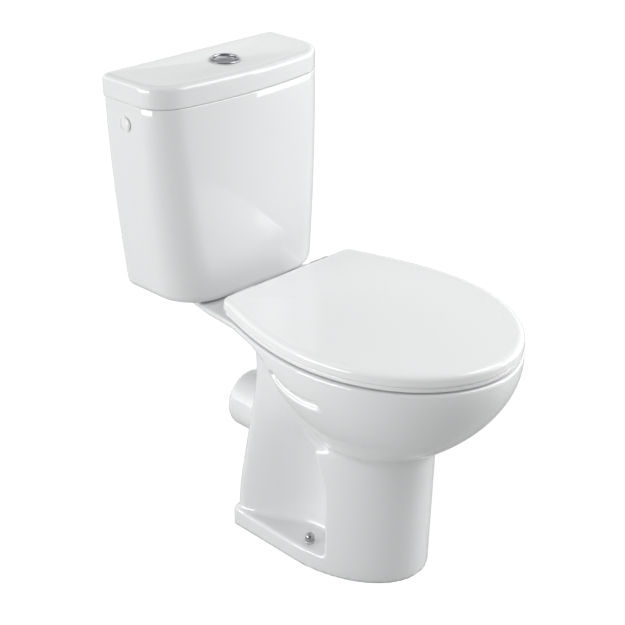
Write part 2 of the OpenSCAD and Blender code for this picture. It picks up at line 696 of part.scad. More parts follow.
module inlet_filter() {
    color([0.35, 0.55, 0.75]) translate([inlet_x, inlet_y, 366]) washer(6.9, 5, 30);
}
inlet_filter();

module float_lever() {
    color(plastic) difference() {
        union() {
            translate([pivot_x, inlet_y - 5, pivot_z]) rotate([-90, 0, 0]) cylinder(r = 5, h = 10);
            translate([62, inlet_y - 5, pivot_z - 3]) cube([pivot_x - 62, 10, 6]);
            translate([66, inlet_y - 5, pivot_z - 8]) cube([8, 10, 8]);
        }
        translate([pivot_x, inlet_y - 15, pivot_z]) rotate([-90, 0, 0]) cylinder(r = 2 + run, h = 30);
    }
}
float_lever();

module lever_pin() {
    color(steel) translate([pivot_x, inlet_y - 10, pivot_z]) rotate([-90, 0, 0]) cylinder(r = 2, h = 20);
}
lever_pin();

module fill_float() {
    color([0.35, 0.55, 0.75]) translate([54, inlet_y - 18, pivot_z - 50]) difference() {
        cube([30, 36, 42]);
        translate([3, 3, -1]) cube([24, 30, 38]);
    }
}
fill_float();

module silencer_tube() {
    color(plastic) translate([inlet_x, inlet_y - 17, 430]) washer(5, 3.8, 125);
}
silencer_tube();

// ---------- side plugs ----------
plug_x = tank_half(plug_z) + 0.4;
module side_hole_plugs() {
    color([0.97, 0.97, 0.97]) for (s = [-1, 1]) translate([s * plug_x, plug_y, plug_z])
        rotate([0, s * 90, 0]) {
        cylinder(r1 = 12.4, r2 = 11.4, h = 2.2);
        translate([0, 0, -18]) cylinder(r = 9.9, h = 18);
    }
}
side_hole_plugs();

module side_plug_nuts() {
    color(steel) for (s = [-1, 1]) translate([s * (plug_x - 16), plug_y, plug_z]) rotate([0, s * 90, 0])
        hex_nut(26, 5, 10);
}
side_plug_nuts();

// ---------- cistern bolts ----------
module tank_bolts() {
    color(steel) both_sides(tank_bolt_pitch) translate([0, valve_y, 0]) {
        translate([0, 0, 361.5]) cylinder(r = 4.9, h = tank_floor + 4 - 361.5);
        translate([0, 0, tank_floor + 4]) cylinder(r = 9, h = 5);
    }
}
tank_bolts();

module tank_bolt_washers() {
    color("dimgray") both_sides(tank_bolt_pitch) translate([0, valve_y, tank_floor])
        cone_washer(10, 13, 5, 4);
}
tank_bolt_washers();

module tank_steel_washers() {
    color(steel) both_sides(tank_bolt_pitch) translate([0, valve_y, 375]) washer(11, 5.2, 2);
}
tank_steel_washers();

module tank_wing_nuts() {
    color(steel) both_sides(tank_bolt_pitch) translate([0, valve_y, 366]) wing_nut(8, 9, 5);
}
tank_wing_nuts();

// ---------- floor fixings ----------
module floor_screws() {
    color(steel) both_sides(floor_pitch) translate([0, bolt_y, 0]) {
        translate([0, 0, 0.5]) cylinder(r = 3.4, h = ledge_z + 2.5);
        translate([0, 0, ledge_z + 3]) cylinder(d = 10 / cos(30), h = 4, $fn = 6);
    }
}
floor_screws();

module floor_screw_sleeves() {
    color(plastic) both_sides(floor_pitch) translate([0, bolt_y, 0]) difference() {
        union() {
            translate([0, 0, 1]) cylinder(r = 4.9, h = ledge_z);
            translate([0, 0, ledge_z + 0.1]) cylinder(r = 7.6, h = 2.9);
        }
        cylinder(r = 3.5, h = ledge_z + 10);
    }
}
floor_screw_sleeves();

module floor_screw_caps() {
    color(steel) both_sides(floor_pitch) translate([0, bolt_y, ledge_z + 3.1]) difference() {
        union() {
            cylinder(r = 7.6, h = 6);
            translate([0, 0, 6]) intersection() {
                sphere(r = 7.6);
                cylinder(r = 8, h = 9);
            }
        }
        translate([0, 0, -1]) cylinder(r = 6, h = 6);
    }
}
floor_screw_caps();
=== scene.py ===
import json
from math import cos, pi, radians, sin, sqrt

import bpy
import numpy as np
from mathutils import Matrix, Vector


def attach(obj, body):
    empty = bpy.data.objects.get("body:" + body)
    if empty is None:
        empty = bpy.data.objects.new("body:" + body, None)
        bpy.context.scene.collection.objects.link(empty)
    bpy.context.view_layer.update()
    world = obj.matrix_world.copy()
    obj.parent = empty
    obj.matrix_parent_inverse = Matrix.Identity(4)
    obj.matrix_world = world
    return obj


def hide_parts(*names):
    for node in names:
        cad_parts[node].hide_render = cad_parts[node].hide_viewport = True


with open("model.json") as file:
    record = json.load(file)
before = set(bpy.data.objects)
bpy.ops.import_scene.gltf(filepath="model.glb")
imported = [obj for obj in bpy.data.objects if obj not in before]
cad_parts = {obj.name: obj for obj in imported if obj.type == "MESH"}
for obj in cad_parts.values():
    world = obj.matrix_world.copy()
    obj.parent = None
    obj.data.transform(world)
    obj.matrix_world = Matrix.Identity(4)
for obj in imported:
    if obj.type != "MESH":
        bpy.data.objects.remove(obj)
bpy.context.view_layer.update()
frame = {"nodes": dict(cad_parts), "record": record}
MM = 0.001

# ---------------------------------------------------------------- sizes, in mm, as in the CAD source
HALF_LEN = 334.0
RIM_Z, RIM_HALF, RIM_FRONT = 413.0, 184.0, 235.0
MID_Y = RIM_FRONT - HALF_LEN
REAR_Y = 326.0
SHELF_HALF, SHELF_Z, SLAB_Z = 104.0, 393.0, 377.0
CHINA = 11.0
FOOT_HALF, FOOT_FRONT, FOOT_Y, FOOT_BACK, LEDGE_Z = 111.0, 173.0, -13.0, 131.0, 33.0
NICHE_Y, BOLT_Y, FLOOR_PITCH = -81.0, -33.0, 176.0
OUTLET_Z, OUTLET_R, OUTLET_END = 175.0, 51.0, 206.0
VALVE_Y, HINGE_Y, HINGE_PITCH, PAD_Z = 247.0, 122.0, 155.0, 398.0
TANK_BOLT_PITCH = 130.0
TANK_Z, SEAM_Z, TANK_TOP_HALF, TANK_BASE_HALF, TANK_BACK = 396.0, 724.0, 177.0, 155.0, 333.0
TANK_FLOOR = 408.0
LID_Z, LID_H = 724.4, 36.0
LID_TOP = LID_Z + LID_H + 2.4
RING_Z, RING_EDGE, COVER_Z, COVER_H, SEAT_BACK = 416.5, 7.5, 424.5, 22.0, 111.0
PLUG_Y, PLUG_Z, PLUG_R = 279.0, 690.0, 12.4
BEZEL_R, BUTTON_R, SPLIT_X, PLATE_Z = 26.0, 17.6, 3.0, 728.0


# ---------------------------------------------------------------- maths
def clamp(t, low=0.0, high=1.0):
    return np.clip(t, low, high)


def smooth(t):
    u = clamp(t)
    return u * u * (3 - 2 * u)


def curve(x, table):
    """Monotone cubic through the table's points, flat beyond its ends."""
    px, py = np.array(table, float).T
    h, d = np.diff(px), np.diff(py) / np.diff(px)
    m = np.zeros(len(px))
    inner = (d[:-1] * d[1:]) > 0
    w1, w2 = 2 * h[1:] + h[:-1], h[1:] + 2 * h[:-1]
    with np.errstate(divide="ignore", invalid="ignore"):
        m[1:-1] = np.where(inner, (w1 + w2) / (w1 / d[:-1] + w2 / d[1:]), 0)
    m[0], m[-1] = d[0], d[-1]
    x = np.clip(np.asarray(x, float), px[0], px[-1])
    i = np.clip(np.searchsorted(px, x, side="right") - 1, 0, len(h) - 1)
    t = (x - px[i]) / h[i]
    return ((2 * t**3 - 3 * t**2 + 1) * py[i] + (t**3 - 2 * t**2 + t) * h[i] * m[i]
            + (3 * t**2 - 2 * t**3) * py[i + 1] + (t**3 - t**2) * h[i] * m[i + 1])


def smin(a, b, k):
    """Union of two fields with a fillet about as wide as k."""
    h = np.clip(0.5 + 0.5 * (b - a) / k, 0, 1)
    return b * (1 - h) + a * h - k * h * (1 - h)


def smax(a, b, k):
    return -smin(-a, -b, k)


# ------------------------------------------------- the pan as one smooth field, negative inside
def ellipse(x, y, a, b):
    """About the distance to an ellipse of half sizes a and b."""
    u, v = x / a, y / b
    q = np.sqrt(u * u + v * v) + 1e-9
    return (q - 1) * q / (np.sqrt((u / a)**2 + (v / b)**2) + 1e-9)


def slope(fn, z):
    return (fn(z + 0.5) - fn(z - 0.5))


def fill(z):
    return clamp(1 - clamp((400 - z) / 210, 0, 2)**1.7, 0.02, 1)


def bowl_half(z):
    return RIM_HALF * fill(z)**0.6


def bowl_front(z):
    return RIM_FRONT * fill(z)**0.72


def rim_outline(x, y, z):
    """The bowl and the rim at height z, without an end at the back."""
    half, front = bowl_half(z), bowl_front(z)
    t = clamp((y - MID_Y) / 390)
    k = half / RIM_HALF
    w = k * (SHELF_HALF + (RIM_HALF - SHELF_HALF) / 2 * (1 + np.cos(pi * t)))
    wy = k * (RIM_HALF - SHELF_HALF) / 2 * np.sin(pi * t) * pi / 390
    side = (x - w) / np.sqrt(1 + wy**2)
    nose = ellipse(x, y - MID_Y, half, front)
    c = (x / half)**2 / ((x / half)**2 + ((y - MID_Y) / front)**2 + 1e-9)
    c = np.where(y < MID_Y, c, 1)
    lean = np.sqrt(1 + c * slope(bowl_half, z)**2 + (1 - c) * slope(bowl_front, z)**2)
    return np.where(y < MID_Y, nose, side) / lean


def ridge(z):
    """Where the bowl's side meets the column, front to back."""
    return curve(z, [[150, -86], [190, -80], [224, -73], [255, -82], [280, -86], [306, -80],
                     [330, -61], [350, -45], [372, -36], [390, -24], [403, 2], [413, 16]])


def top(y):
    low = RIM_Z - (RIM_Z - SHELF_Z) * (y - 70) / 104
    return smax(smin(low, RIM_Z + 0 * y, 3), SHELF_Z + 0 * y, 3)


def foot_outline(x, y, z):
    lean = 1 + 9 / 173 * clamp(z / 220, 0, 1.2)
    nose = ellipse(x, y - FOOT_Y, FOOT_HALF, FOOT_FRONT * lean)
    side = x - FOOT_HALF + smooth((y - FOOT_Y) / (FOOT_BACK - FOOT_Y))
    return smax(np.where(y < FOOT_Y, nose, side), y - FOOT_BACK, 10)


def niche_plane(x, y, z):
    front = NICHE_Y + 18 * smooth((z - 150) / 80) - 4 + 7 * smooth(x / 130)
    return y - front


BODY_IN = [[0, 42], [33, 46], [100, 50], [150, 55], [200, 68], [250, 90], [300, 106], [340, 112]]
BODY_BACK = [[0, 131], [20, 130], [68, 127], [192, 105], [320, 84], [377, 88]]


def body(x, y, z):
    """The column round the trapway: narrow where it leaves the foot, wide at its back."""
    a, back = curve(z, BODY_IN), curve(z, BODY_BACK)
    b = 107 - 6 * clamp(z / 320)
    t = clamp((y + 30) / (back + 36))
    w = a + (b - a) * smooth(t)
    wz = slope(lambda q: curve(q, BODY_IN), z)
    wy = (b - a) * 6 * t * (1 - t) / (back + 36)
    side = (x - w) / np.sqrt(1 + wy**2 + (wz * (1 - smooth(t)))**2)
    f = smax(side, y - back, 20)
    return smax(smax(f, -112 - y, 10), z - 379, 4)


CAVITY = dict(
    half=[[170, 30], [176, 37], [190, 45], [215, 58], [250, 84],
          [290, 115], [330, 139], [365, 154], [385, 158], [396, 156]],
    front=[[170, 38], [176, 45], [190, 53], [215, 67], [250, 106],
           [290, 148], [330, 182], [365, 203], [385, 208], [396, 206]],
    back=[[170, 42], [176, 49], [190, 61], [215, 77], [250, 104],
          [290, 134], [330, 158], [365, 174], [385, 179], [396, 178]])
RIM_HOLE = (134.0, 187.0, 160.0)


def cavity(x, y, z, outside):
    half, front, back = (curve(z, CAVITY[k]) for k in ("half", "front", "back"))
    f = ellipse(x, y - MID_Y, half, np.where(y < MID_Y, front, back))
    lean = np.sqrt(1 + slope(lambda q: curve(q, CAVITY["half"]), z)**2)
    under = smax(smax(smax(f / lean, outside + CHINA, 8), z - 397, 5), 172 - z, 14)
    half, front, back = RIM_HOLE
    hole = smax(ellipse(x, y - MID_Y, half, np.where(y < MID_Y, front, back)), 380 - z, 2)
    return smin(under, hole, 5)


def trap_path():
    """Centre of the trapway as y, z and radius: down from the sump, round, over the weir and down."""
    bend, z0 = 52, 162
    pts = [(-92, 190, 34)]
    pts += [(-40 + bend * cos(radians(a)), z0 + bend * sin(radians(a)), 33)
            for a in range(180, 350, 10)]
    pts += [(64 + bend * cos(radians(a)), z0 + bend * sin(radians(a)), 34 + (180 - a) / 32)
            for a in range(180, 45, -10)]
    return np.array(pts + [(108, 193, 39.5), (118, 185, 41)], float)


TRAP = trap_path()


def trap(x, y, z):
    best = np.full(np.shape(x), 1e3)
    for (ya, za, ra), (yb, zb, rb) in zip(TRAP[:-1], TRAP[1:]):
        dy, dz = yb - ya, zb - za
        t = clamp(((y - ya) * dy + (z - za) * dz) / (dy * dy + dz * dz))
        d = np.sqrt(x**2 + (y - ya - t * dy)**2 + (z - za - t * dz)**2) - (ra + (rb - ra) * t)
        best = np.minimum(best, d)
    return best


def bar(x, y, z, y0, y1, z0, z1, half):
    """Box across the middle plane, half wide to each side."""
    return np.maximum(np.maximum(np.abs(x) - half, np.maximum(y0 - y, y - y1)), np.maximum(z0 - z, z - z1))


def rod_z(x, y, z, cx, cy, r, z0, z1):
    """Upright cylinder of radius r about cx, cy, with slightly rounded ends."""
    return smax(np.sqrt((x - cx)**2 + (y - cy)**2) - r, np.maximum(z0 - z, z - z1), 2)


GROOVE = [(177, -44, 380, 4.5), (177.5, -54, 372, 5.5), (177.7, -67, 365, 6.3), (177.5, -84, 360, 6.8),
          (177, -103, 357.5, 7.2), (176.3, -120, 358, 7.4), (175.3, -132, 359.5, 7.2)]


def groove(x, y, z):
    best = np.full(np.shape(x), 1e3)
    for a, b in zip(GROOVE[:-1], GROOVE[1:]):
        d = np.array(b[:3]) - np.array(a[:3])
        t = clamp(((x - a[0]) * d[0] + (y - a[1]) * d[1] + (z - a[2]) * d[2]) / d.dot(d))
        dist = np.sqrt((x - a[0] - t * d[0])**2 + (y - a[1] - t * d[1])**2 + (z - a[2] - t * d[2])**2)
        best = np.minimum(best, dist - (a[3] + (b[3] - a[3]) * t))
    return best


def shell_outside(x, y, z):
    """Column, foot, trapway body and bowl, without the shelf's fittings."""
    cut = smin(niche_plane(x, y, z), z - LEDGE_Z, 7)
    foot = smax(foot_outline(x, y, z), cut, 5)
    foot = smax(foot, z - 229, 9)
    side = rim_outline(x, y, z)
    under = (np.maximum(SLAB_Z, top(y) - 8 + 0.6 * side) - z) / 1.17
    behind = (y - ridge(z)) / np.sqrt(1 + slope(ridge, z)**2)
    edge_k = 3 + 11 * smooth((392 - z) / 36)
    bowl = smax(smax(side, smin(behind, under, 8), edge_k), y - REAR_Y, 28)
    bowl = smax(bowl, 200 - z, 6)
    f = smin(foot, bowl, 16)
    return smin(f, body(x, y, z), 10)


def pan(x, y, z):
    x = np.abs(x)
    outside = shell_outside(x, y, z)
    f = smin(outside, bar(x, y, z, 60, VALVE_Y, 344, 378, 38), 8)
    f = smin(f, rod_z(x, y, z, 0, VALVE_Y, 53, 344, 379), 6)
    along = np.sqrt(x**2 + (z - OUTLET_Z)**2)
    spigot = smax(along - OUTLET_R, np.maximum(90 - y, y - OUTLET_END), 6)
    collar = smax(along - OUTLET_R - 8, np.maximum(90 - y, y - 126), 6)
    f = smin(smin(f, collar, 14), spigot, 5)
    f = smax(f, z - top(y), 4)
    f = smax(f, -groove(x, y, z), 2.5)
    cav = cavity(x, y, z, outside)
    bore = smax(along - 43, 80 - y, 4)
    tube = smin(smax(trap(x, y, z), outside + CHINA, 6), bore, 6)
    hollow = smax(outside + CHINA + 2, np.maximum(CHINA + 1 - cav, CHINA + 1 - tube), 6)
    hollow = np.maximum(hollow, z - 250)
    f = smax(f, -hollow, 3)
    f = smax(f, -smin(cav, tube, 6), 6)
    f = smax(f, -rod_z(x, y, z, 0, VALVE_Y, 48, 373, 450), 2)
    f = smax(f, -rod_z(x, y, z, 0, VALVE_Y, 36, 355, 450), 2)
    f = np.maximum(f, -bar(x, y, z, 62, VALVE_Y, 355, 370, 27))
    f = smax(f, -rod_z(x, y, z, TANK_BOLT_PITCH / 2, VALVE_Y, 6, 300, 450), 2)
    f = smax(f, -rod_z(x, y, z, HINGE_PITCH / 2, HINGE_Y, 7, 300, 450), 2)
    f = smax(f, -rod_z(x, y, z, HINGE_PITCH / 2, HINGE_Y, 16, PAD_Z, 450), 2)
    f = smax(f, -rod_z(x, y, z, FLOOR_PITCH / 2, BOLT_Y, 5, -9, LEDGE_Z + 9), 1.5)
    return smax(f, -z, 2)


def surface_net(field, step, low, high):
    """Quad mesh of field == 0, symmetric in x: points in mm and faces."""
    nx = int(np.ceil(high[0] / step)) + 1
    xs = (np.arange(nx) + 0.5) * step
    ys, zs = (np.arange(low[i], high[i] + step, step) for i in (1, 2))
    f = field(*np.meshgrid(xs, ys, zs, indexing="ij"))
    f = np.concatenate([f[::-1], f])
    xs = np.concatenate([-xs[::-1], xs])
    grid = (xs, ys, zs)
    inside = f < 0
    shape = tuple(n - 1 for n in f.shape)
    total, count = np.zeros(shape + (3,), np.float32), np.zeros(shape, np.float32)
    quads = []
    cells = np.arange(np.prod(shape)).reshape(shape)
    for axis in range(3):
        u, v = (axis + 1) % 3, (axis + 2) % 3
        a = [slice(None)] * 3
        b = [slice(None)] * 3
        a[axis], b[axis] = slice(0, -1), slice(1, None)
        fa, fb = f[tuple(a)], f[tuple(b)]
        hit = inside[tuple(a)] != inside[tuple(b)]
        i, j, k = np.nonzero(hit)
        t = (fa[hit] / (fa[hit] - fb[hit]))
        ijk = [i, j, k]
        p = np.stack([grid[n][ijk[n]] for n in range(3)], 1)
        p[:, axis] += t * step
        keep = (ijk[u] > 0) & (ijk[v] > 0) & (ijk[u] < shape[u]) & (ijk[v] < shape[v])
        p, ijk = p[keep], [n[keep] for n in ijk]
        flip = ~inside[tuple(a)][hit][keep]
        ring = []
        for du, dv in ((-1, -1), (0, -1), (0, 0), (-1, 0)):
            c = list(ijk)
            c[u], c[v] = ijk[u] + du, ijk[v] + dv
            np.add.at(total, tuple(c), p)
            np.add.at(count, tuple(c), 1)
            ring.append(cells[tuple(c)])
        q = np.stack(ring, 1)
        q[flip] = q[flip][:, ::-1]
        quads.append(q)
    quads = np.concatenate(quads)
    used, index = np.unique(quads, return_inverse=True)
    points = (total.reshape(-1, 3)[used] / count.reshape(-1)[used][:, None]).astype(float)
    return points, index.reshape(-1, 4)


def settle(points, quads, field, rounds, step):
    """Evens out the points along the surface, and puts them exactly on it."""
    edges = np.concatenate([quads[:, [i, (i + 1) % 4]] for i in range(4)])
    a, b = edges[:, 0], edges[:, 1]
    n = len(points)
    degree = np.bincount(a, minlength=n) + np.bincount(b, minlength=n)

    def project(p):
        f0 = field(*p.T)
        g = np.stack([(field(*(p + d).T) - f0) / 0.05 for d in np.eye(3) * 0.05], 1)
        size = (g**2).sum(1) + 1e-6
        move = -g * (f0 / size)[:, None]
        far = np.linalg.norm(move, axis=1, keepdims=True)
        return p + move * np.minimum(1, step * 0.4 / (far + 1e-9)), g / np.sqrt(size)[:, None]

    for _ in range(2):
        points, normal = project(points)
    for _ in range(rounds):
        mean = np.stack([(np.bincount(a, points[b, i], n) + np.bincount(b, points[a, i], n)) / degree
                         for i in range(3)], 1)
        move = mean - points
        move -= normal * (move * normal).sum(1)[:, None] * 0.9
        points, normal = project(points + 0.6 * move)
    return points


def new_object(name, points, faces, smooth_shading=True):
    mesh = bpy.data.meshes.new(name)
    mesh.from_pydata([tuple(p) for p in np.asarray(points, float) * MM], [], [tuple(f) for f in faces])
    mesh.update()
    mesh.validate()
    if smooth_shading:
        mesh.shade_smooth()
    ob = bpy.data.objects.new(name, mesh)
    bpy.context.scene.collection.objects.link(ob)
    return ob


# ---------------------------------------------------------------- lofts for the cistern, its lid and the seat
def full_loop(half):
    """Closed loop of a half outline that starts and ends on x = 0."""
    half = np.asarray(half)
    back = half[-2:0:-1].copy()
    back[:, 0] *= -1
    return np.concatenate([half, back])


def resample(points, n, weight=None):
    """n points along a polyline, even in length, denser where it bends."""
    points = np.asarray(points, float)
    seg = np.diff(points, axis=0)
    length = np.linalg.norm(seg, axis=1)
    ang = np.unwrap(np.arctan2(seg[:, 1], seg[:, 0]))
    turn = np.concatenate([[0], np.abs(np.diff(ang))])
    cost = np.concatenate([[0], np.cumsum(length + (weight or 0) * turn)])
    want = np.linspace(0, cost[-1], n)
    return np.stack([np.interp(want, cost, points[:, i]) for i in range(2)], 1)


def tank_outline(half, back, side_d, mid_d, r, rb, n=72):
    h = mid_d - side_d
    big = (half * half + h * h) / (2 * h)
    a0 = np.arcsin((half - r) / big)
    xc = half - r * (1 - sin(a0))
    a = np.arcsin(xc / big)
    yc = back - mid_d + big - sqrt(big * big - xc * xc)
    x = np.linspace(0, xc, 80)
    p = [np.stack([x, back - mid_d + big - np.sqrt(big * big - x * x)], 1)]
    t = np.linspace(a, pi / 2, 60)[1:]
    p.append(np.stack([xc + r * (np.sin(t) - sin(a)), yc + r * (cos(a) - np.cos(t))], 1))
    t = np.linspace(0, pi / 2, 24)
    p.append(np.stack([half - rb + rb * np.cos(t), back - rb + rb * np.sin(t)], 1))
    p.append(np.array([[0, back]]))
    return resample(np.concatenate(p), n, 26)


def seat_outline(back_y, d, r, n=90):
    t = np.linspace(0, pi / 2, 90)
    p = [np.stack([(RIM_HALF - d) * np.sin(t), MID_Y - (RIM_FRONT - d) * np.cos(t)], 1)]
    y = np.linspace(MID_Y, back_y - r, 60)[1:]
    w = SHELF_HALF + (RIM_HALF - SHELF_HALF) / 2 * (1 + np.cos(pi * clamp((y - MID_Y) / 390))) - d
    p.append(np.stack([w, y], 1))
    t = np.linspace(0, pi / 2, 30)[1:]
    p.append(np.stack([w[-1] - r + r * np.cos(t), back_y - r + r * np.sin(t)], 1))
    p.append(np.array([[0, back_y]]))
    return resample(np.concatenate(p), n, 22)


def shrink(loop, d, centre):
    """Moves a loop in towards centre by d, and at most onto it."""
    v = loop - centre
    n = np.linalg.norm(v, axis=1, keepdims=True)
    return centre + v * np.maximum(0, n - d) / n


def band(a, b, n):
    """Quads between two closed rows of n points that start at a and b."""
    return [(a + i, a + (i + 1) % n, b + (i + 1) % n, b + i) for i in range(n)]


def loft(name, rows):
    """Quads between closed rows of x, y, z; a pole closes each end."""
    n, count = len(rows[0]), len(rows)
    faces = []
    for k in range(count - 1):
        faces += band(k * n, (k + 1) * n, n)
    for end, base in enumerate((0, (count - 1) * n)):
        pole = count * n + end
        for i in range(n):
            tri = (base + i, base + (i + 1) % n, pole)
            faces.append(tri if end else tri[::-1])
    return new_object(name, np.concatenate([*rows, [rows[0].mean(0), rows[-1].mean(0)]]), faces)


def scaled(loop, s, centre):
    """The loop at s times its size about centre."""
    return centre + (loop - centre) * s


def level(loop, z):
    return np.column_stack([loop, np.full(len(loop), z)])


def round_edge(r, n):
    """Pairs of inset and rise for a quarter round of radius r, from the side to the face."""
    t = np.linspace(0, pi / 2, n)
    return [(r * (1 - cos(a)), r * sin(a)) for a in t]


# ---------------------------------------------------------------- materials
def material(name, base, rough=0.4, metal=0.0, coat=0.0, coat_rough=0.05, bump=0.0, bump_scale=400.0,
             tint=0.02, tint_scale=12.0, rough_var=0.05, rough_scale=60.0, ior=1.5,
             stretch=(1, 1, 1), spec=0.5):
    m = bpy.data.materials.new(name)
    m.use_nodes = True
    nt = m.node_tree
    nodes, links = nt.nodes, nt.links
    bsdf = nodes["Principled BSDF"]
    bsdf.inputs["Metallic"].default_value = metal
    bsdf.inputs["IOR"].default_value = ior
    bsdf.inputs["Specular IOR Level"].default_value = spec
    if coat:
        bsdf.inputs["Coat Weight"].default_value = coat
        bsdf.inputs["Coat Roughness"].default_value = coat_rough
    coord = nodes.new("ShaderNodeTexCoord")
    mapping = nodes.new("ShaderNodeMapping")
    mapping.inputs["Scale"].default_value = stretch
    links.new(coord.outputs["Object"], mapping.inputs["Vector"])

    def noise(scale, detail=3.0):
        t = nodes.new("ShaderNodeTexNoise")
        t.inputs["Scale"].default_value = scale
        t.inputs["Detail"].default_value = detail
        links.new(mapping.outputs["Vector"], t.inputs["Vector"])
        return t.outputs["Fac"]

    ramp = nodes.new("ShaderNodeMapRange")
    ramp.inputs["From Min"].default_value, ramp.inputs["From Max"].default_value = 0.3, 0.7
    ramp.inputs["To Min"].default_value = max(0.01, rough - rough_var / 2)
    ramp.inputs["To Max"].default_value = rough + rough_var / 2
    links.new(noise(rough_scale), ramp.inputs["Value"])
    links.new(ramp.outputs["Result"], bsdf.inputs["Roughness"])
    mix = nodes.new("ShaderNodeMix")
    mix.data_type = "RGBA"
    dark = tuple(c * (1 - tint) for c in base)
    mix.inputs["A"].default_value = (*base, 1)
    mix.inputs["B"].default_value = (*dark, 1)
    links.new(noise(tint_scale), mix.inputs["Factor"])
    links.new(mix.outputs["Result"], bsdf.inputs["Base Color"])
    if bump:
        b = nodes.new("ShaderNodeBump")
        b.inputs["Strength"].default_value = 1.0
        b.inputs["Distance"].default_value = bump
        links.new(noise(bump_scale, 2.0), b.inputs["Height"])
        links.new(b.outputs["Normal"], bsdf.inputs["Normal"])
    return m


MATS = {
    "vitreous_china": material("glazed_china", (0.83, 0.84, 0.845), rough=0.07, rough_var=0.03,
                               coat=0.6, coat_rough=0.03, bump=0.00006, bump_scale=35, tint=0.015,
                               tint_scale=5, rough_scale=25, ior=1.52),
    "seat_plastic": material("seat_gloss", (0.88, 0.885, 0.89), rough=0.12, rough_var=0.03,
                             coat=0.35, coat_rough=0.04, bump=0.00003, bump_scale=60, tint=0.01,
                             tint_scale=8, ior=1.49),
    "buffer_rubber": material("buffer_rubber", (0.62, 0.63, 0.64), rough=0.6, bump=0.0001,
                              bump_scale=900, tint=0.08),
    "hinge_steel": material("hinge_steel", (0.60, 0.61, 0.63), rough=0.26, metal=1.0, bump=0.00003,
                            bump_scale=700, stretch=(1, 1, 8), tint=0.08, tint_scale=60),
    "black_rubber": material("black_rubber", (0.025, 0.025, 0.028), rough=0.65, bump=0.0001,
                             bump_scale=800, tint=0.3),
    "white_plastic": material("fitting_plastic", (0.74, 0.74, 0.735), rough=0.38, bump=0.00005,
                              bump_scale=500, tint=0.05),
    "chrome_plate": material("chrome_plate", (0.42, 0.43, 0.45), rough=0.06, rough_var=0.03,
                             metal=1.0, tint=0.05, tint_scale=120, bump=0.00001, bump_scale=300),
    "blue_plastic": material("blue_plastic", (0.05, 0.17, 0.42), rough=0.35, bump=0.00005,
                             bump_scale=500, tint=0.1),
    "plug_plastic": material("plug_plastic", (0.86, 0.86, 0.86), rough=0.15, coat=0.4,
                             bump=0.00002, bump_scale=300, tint=0.02),
    "fixing_steel": material("fixing_steel", (0.52, 0.53, 0.55), rough=0.3, metal=1.0,
                             bump=0.00003, bump_scale=600, tint=0.1, tint_scale=90),
}
SLOT_OF = {s["node"]: s["material_slot"] for s in frame["record"]["subparts"]}


def paint(ob, slot):
    ob.data.materials.clear()
    ob.data.materials.append(MATS[slot])


for node, ob in frame["nodes"].items():
    for holder in ob.material_slots:
        holder.material = MATS[SLOT_OF[node]]


def piece(ob, slot, body_name, *nodes):
    paint(ob, slot)
    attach(ob, body_name)
    if nodes:
        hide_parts(*nodes)
    return ob


# ---------------------------------------------------------------- pan
STEP = 3.9
points, quads = surface_net(pan, STEP, (0, -342, -STEP * 1.5), (194, 334, 424))
points = settle(points, quads, pan, 4, STEP)
PAN_NODES = [node for node in frame["nodes"] if node.startswith("pan_")]
piece(new_object("pan_china", points, quads), "vitreous_china", "suite", *PAN_NODES)


# ---------------------------------------------------------------- cistern
def tank_row(z, d):
    t = float(clamp((SEAM_Z - z) / (SEAM_Z - TANK_Z)))
    half = TANK_BASE_HALF + (TANK_TOP_HALF - TANK_BASE_HALF) * (1 - t**1.7) - d
    loop = tank_outline(half, TANK_BACK - 1 - 4 * t - d, 131 + 13 * t - 2 * d, 151 + 8 * t - 2 * d,
                        max(58 + 14 * t - d, 12), max(9 - d, 3))
    return full_loop(loop)


CENTRE = np.array([0.0, VALVE_Y])
rows = []
base_r = 15.0
base = shrink(tank_row(TANK_Z, 0), base_r, CENTRE)
rows += [level(scaled(base, s, CENTRE), TANK_Z) for s in (0.1, 0.4, 0.7, 0.9)]
for d, rise in reversed(round_edge(base_r, 9)):
    rows.append(level(shrink(tank_row(TANK_Z + base_r - rise, 0), d, CENTRE), TANK_Z + base_r - rise))
rows += [level(tank_row(z, 0), z) for z in np.linspace(TANK_Z + base_r, SEAM_Z - 2, 26)[1:]]
rows += [level(shrink(tank_row(SEAM_Z, 0), d, CENTRE), SEAM_Z - 2 + rise)
         for d, rise in round_edge(2, 4)[1:]]
rows += [level(tank_row(SEAM_Z, CHINA - 3.5), SEAM_Z), level(tank_row(SEAM_Z, CHINA - 2), SEAM_Z - 1.5)]
rows += [level(tank_row(z, CHINA - 2), z) for z in np.linspace(SEAM_Z - 6, TANK_FLOOR + 10, 14)]
rows += [level(shrink(tank_row(TANK_FLOOR + 10, CHINA - 2), 3, CENTRE), TANK_FLOOR + 3)]
base = shrink(tank_row(TANK_FLOOR + 10, CHINA - 2), 11, CENTRE)
rows += [level(scaled(base, s, CENTRE), TANK_FLOOR) for s in (1, 0.8, 0.5, 0.1)]
piece(loft("cistern_tank_china", rows), "vitreous_china", "suite", "cistern_tank")


def lid_row(d):
    e = min(d, 9.0)
    loop = full_loop(tank_outline(TANK_TOP_HALF + 2 - e, HALF_LEN - e,
                                  132 - 2 * e, 153 - 2 * e, 59 - e, 10 - e / 2))
    return shrink(loop, d - e, CENTRE) if d > e else loop


def dome(s):
    """From 0 at the edge of a crowned top, s = 1, to 1 at its middle."""
    return (1 - s * s)**2


